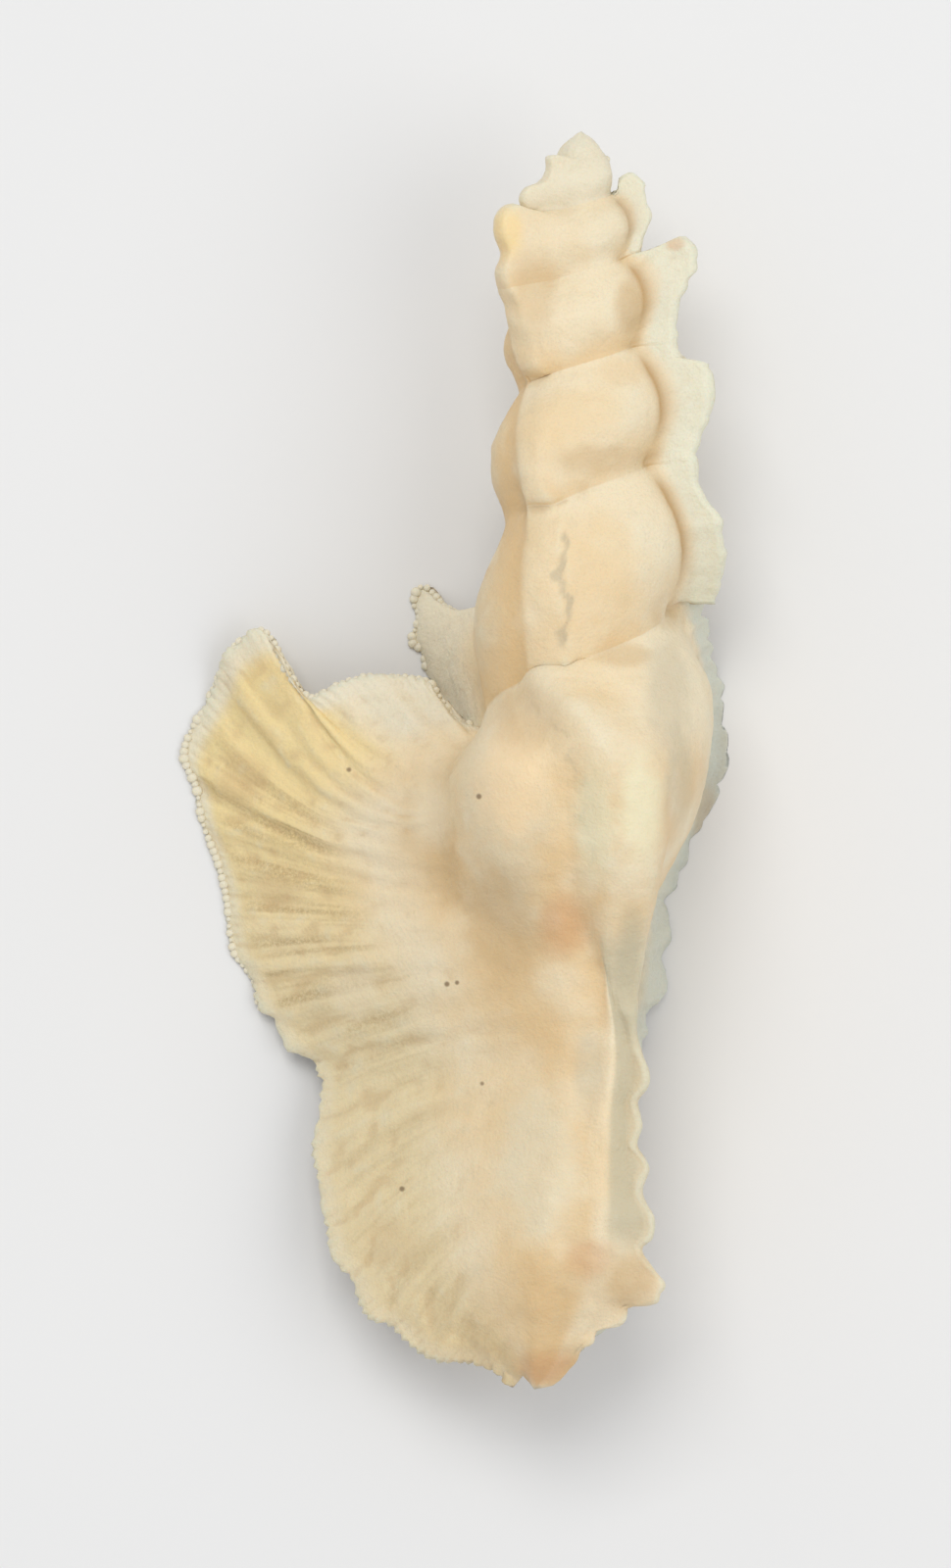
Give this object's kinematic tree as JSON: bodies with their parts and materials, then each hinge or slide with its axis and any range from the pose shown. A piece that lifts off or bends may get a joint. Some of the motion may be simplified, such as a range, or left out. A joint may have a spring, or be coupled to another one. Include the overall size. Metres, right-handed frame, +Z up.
{
  "type": "winged murex sea shell",
  "caption": "Slender spired sea shell with three winged ridges to each turn, a long tapering canal and an oval opening underneath.",
  "frame": {"origin": "centre of the shell's outline as seen from above, on the surface that it lies on", "axes": "+Y from the canal tip towards the spire tip, +Z up through the back of the shell, +X away from the broad left wing"},
  "size_m": [0.0326, 0.075, 0.0202],
  "materials": {
    "shell_cream": "satin, chalky in places"
  },
  "bodies": {
    "root": {"shell": "shell_cream"}
  },
  "joints": []
}
